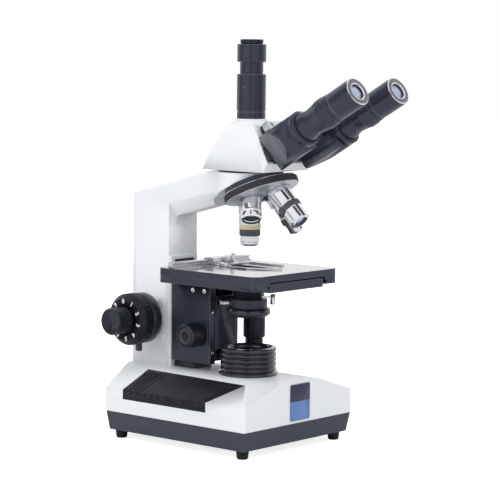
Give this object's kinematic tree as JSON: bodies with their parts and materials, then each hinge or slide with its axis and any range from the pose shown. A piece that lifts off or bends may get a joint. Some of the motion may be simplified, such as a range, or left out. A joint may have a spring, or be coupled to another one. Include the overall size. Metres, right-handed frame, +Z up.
{
  "type": "trinocular microscope",
  "caption": "Upright compound laboratory microscope with inclined binocular tubes, a vertical camera tube, a revolving nosepiece, a mechanical stage and coaxial focus knobs.",
  "frame": {"origin": "Middle of the outline at bench level, under the feet", "axes": "+Z up, -Y towards the user at the eyepieces, +X to the user's right"},
  "size_m": [0.1735, 0.317, 0.4145],
  "materials": {
    "white_paint": "satin",
    "plinth_black": "satin",
    "black_paint": "satin",
    "black_plastic": "satin",
    "rubber": "matte",
    "blue_plate": "satin",
    "chrome": "polished",
    "steel": "brushed",
    "bronze": "satin",
    "glass": "clear",
    "lamp_ceramic": "satin"
  },
  "bodies": {
    "stand": {"base_housing": "white_paint", "base_plinth": "plinth_black", "feet": "rubber", "hand_pads": "rubber", "front_plate": "blue_plate", "base_screws": "steel", "lamp_collar": "black_paint", "field_lens": "glass", "lamp": "lamp_ceramic", "power_inlet": "black_plastic", "switch_frame": "black_plastic", "arm": "white_paint", "slide_guide": "black_paint", "focus_bushes": "bronze", "nosepiece_mount": "black_paint"},
    "rocker": {"power_switch": "black_plastic"},
    "dial": {"brightness_dial": "black_plastic"},
    "coarse": {"coarse_knobs": "black_plastic", "coarse_shaft": "steel"},
    "drag": {"tension_ring": "black_paint"},
    "fine": {"fine_knobs": "black_plastic", "fine_shaft": "steel"},
    "block": {"coarse_block": "black_paint"},
    "carrier": {"stage_bracket": "black_paint", "gib_strips": "steel", "stage_lower_plate": "black_paint"},
    "condenser_carrier": {"condenser_slide": "black_paint", "condenser": "black_paint", "condenser_lens": "glass"},
    "condenser_drive": {"condenser_knob": "black_plastic"},
    "iris": {"iris_lever": "steel"},
    "clamp": {"clamp_screw": "steel"},
    "filter_swing": {"filter_holder": "black_paint"},
    "stage": {"stage_top": "black_paint", "stage_rail": "steel", "drive_post": "black_paint"},
    "y_drive": {"y_knob": "black_plastic"},
    "x_drive": {"x_knob": "black_plastic"},
    "carriage": {"slide_holder": "steel"},
    "clip": {"holder_clip": "steel"},
    "nosepiece": {"turret": "chrome", "turret_grip": "rubber", "objective_4x": "chrome", "objective_10x": "chrome", "objective_40x": "chrome", "objective_100x": "chrome"},
    "head": {"head_body": "white_paint", "slide_bed": "black_paint", "photo_tube": "black_paint", "photo_adapter": "black_paint"},
    "head_lock": {"head_lock_screw": "black_plastic"},
    "cap": {"photo_cap": "black_plastic"},
    "spacing": {"ipd_wheel": "steel"},
    "left_eye": {"left_housing": "black_paint", "left_tube": "black_paint"},
    "diopter": {"diopter_ring": "black_paint"},
    "left_ocular": {"left_eyepiece": "black_plastic"},
    "right_eye": {"right_housing": "black_paint", "right_tube": "black_paint"},
    "right_ocular": {"right_eyepiece": "black_plastic"}
  },
  "joints": [
    {"name": "coarse_travel", "type": "slide", "parent": "stand", "child": "block", "axis": [0, 0, 1], "range_m": [-0.0005, 0.0195]},
    {"name": "coarse_turn", "type": "hinge", "parent": "stand", "child": "coarse", "pos_m": [0, 0.13, 0.1215], "axis": [1, 0, 0], "range_deg": [-187, 5]},
    {"name": "drag_turn", "type": "hinge", "parent": "stand", "child": "drag", "pos_m": [-0.038, 0.13, 0.1215], "axis": [1, 0, 0], "range_deg": [-60, 60]},
    {"name": "fine_turn", "type": "hinge", "parent": "stand", "child": "fine", "pos_m": [0, 0.13, 0.1215], "axis": [1, 0, 0], "range_deg": [-1630, 1630]},
    {"name": "fine_travel", "type": "slide", "parent": "block", "child": "carrier", "axis": [0, 0, 1], "range_m": [-0.0009, 0.0009]},
    {"name": "condenser_travel", "type": "slide", "parent": "carrier", "child": "condenser_carrier", "axis": [0, 0, 1], "range_m": [-0.015, 0.009]},
    {"name": "condenser_turn", "type": "hinge", "parent": "carrier", "child": "condenser_drive", "pos_m": [0, 0.0628, 0.1089], "axis": [1, 0, 0], "range_deg": [-87, 145]},
    {"name": "iris_turn", "type": "hinge", "parent": "condenser_carrier", "child": "iris", "pos_m": [0, 0.012, 0.151], "axis": [0, 0, 1], "range_deg": [-28, 44]},
    {"name": "clamp_turn", "type": "hinge", "parent": "condenser_carrier", "child": "clamp", "pos_m": [-0.01917, 0.02644, 0.1455], "axis": [-0.7986, 0.6018, 0], "range_deg": [-180, 180]},
    {"name": "filter_swing_turn", "type": "hinge", "parent": "condenser_carrier", "child": "filter_swing", "pos_m": [0.0214, 0.0244, 0.133], "axis": [0, 0, 1], "range_deg": [0, 90]},
    {"name": "stage_y", "type": "slide", "parent": "carrier", "child": "stage", "axis": [0, 1, 0], "range_m": [-0.015, 0.015]},
    {"name": "y_turn", "type": "hinge", "parent": "stage", "child": "y_drive", "pos_m": [0.052, 0.049, 0.114], "axis": [0, 0, 1], "range_deg": [-144, 144]},
    {"name": "carriage_x", "type": "slide", "parent": "stage", "child": "carriage", "axis": [1, 0, 0], "range_m": [-0.05, 0.018]},
    {"name": "x_turn", "type": "hinge", "parent": "stage", "child": "x_drive", "pos_m": [0.052, 0.049, 0.093], "axis": [0, 0, 1], "range_deg": [-173, 479]},
    {"name": "clip_turn", "type": "hinge", "parent": "carriage", "child": "clip", "pos_m": [-0.0025, 0.0505, 0.182], "axis": [0, 0, -1], "range_deg": [0, 40], "stiffness_Nm_per_rad": 0.03, "springref_deg": -11.46},
    {"name": "nosepiece_turn", "type": "hinge", "parent": "stand", "child": "nosepiece", "pos_m": [0, -0.00382, 0.25976], "axis": [0, -0.3955, -0.9184], "continuous": true},
    {"name": "head_turn", "type": "hinge", "parent": "stand", "child": "head", "pos_m": [0, 0.012, 0.281], "axis": [0, 0, 1], "range_deg": [-180, 180]},
    {"name": "head_lock_turn", "type": "hinge", "parent": "stand", "child": "head_lock", "pos_m": [0.04, 0.014, 0.2769], "axis": [1, 0, 0], "range_deg": [-180, 180]},
    {"name": "cap_pull", "type": "slide", "parent": "head", "child": "cap", "axis": [0, 0, 1], "range_m": [0, 0.01]},
    {"name": "left_spread", "type": "slide", "parent": "head", "child": "left_eye", "axis": [-1, 0, 0], "range_m": [-0.0049, 0.0051]},
    {"name": "right_spread", "type": "slide", "parent": "head", "child": "right_eye", "axis": [1, 0, 0], "range_m": [-0.005, 0.0052]},
    {"name": "spacing_turn", "type": "hinge", "parent": "head", "child": "spacing", "pos_m": [-0.017, -0.0239, 0.3249], "axis": [0, -0.866, 0.5], "range_deg": [-48, 50]},
    {"name": "diopter_turn", "type": "hinge", "parent": "left_eye", "child": "diopter", "pos_m": [-0.0324, -0.11564, 0.346], "axis": [0, -0.866, 0.5], "range_deg": [-120, 120]},
    {"name": "left_ocular_pull", "type": "slide", "parent": "left_eye", "child": "left_ocular", "axis": [0, -0.866, 0.5], "range_m": [0, 0.026]},
    {"name": "right_ocular_pull", "type": "slide", "parent": "right_eye", "child": "right_ocular", "axis": [0, -0.866, 0.5], "range_m": [0, 0.026]},
    {"name": "rocker_tip", "type": "hinge", "parent": "stand", "child": "rocker", "pos_m": [0.05375, 0.146, 0.041], "axis": [0, 0, 1], "range_deg": [0, 12]},
    {"name": "dial_turn", "type": "hinge", "parent": "stand", "child": "dial", "pos_m": [0.0755, -0.032, 0.039], "axis": [0, 0, 1], "range_deg": [-135, 135]}
  ],
  "couplings": [
    {"joint": "coarse_turn", "follows": "coarse_travel", "rad_per_m": -166.67},
    {"joint": "fine_turn", "follows": "fine_travel", "rad_per_m": -31416},
    {"joint": "condenser_turn", "follows": "condenser_travel", "rad_per_m": -166.67},
    {"joint": "y_turn", "follows": "stage_y", "rad_per_m": 166.67},
    {"joint": "x_turn", "follows": "carriage_x", "rad_per_m": -166.67},
    {"joint": "right_spread", "follows": "left_spread", "ratio": 1},
    {"joint": "spacing_turn", "follows": "left_spread", "rad_per_m": 166.67}
  ]
}
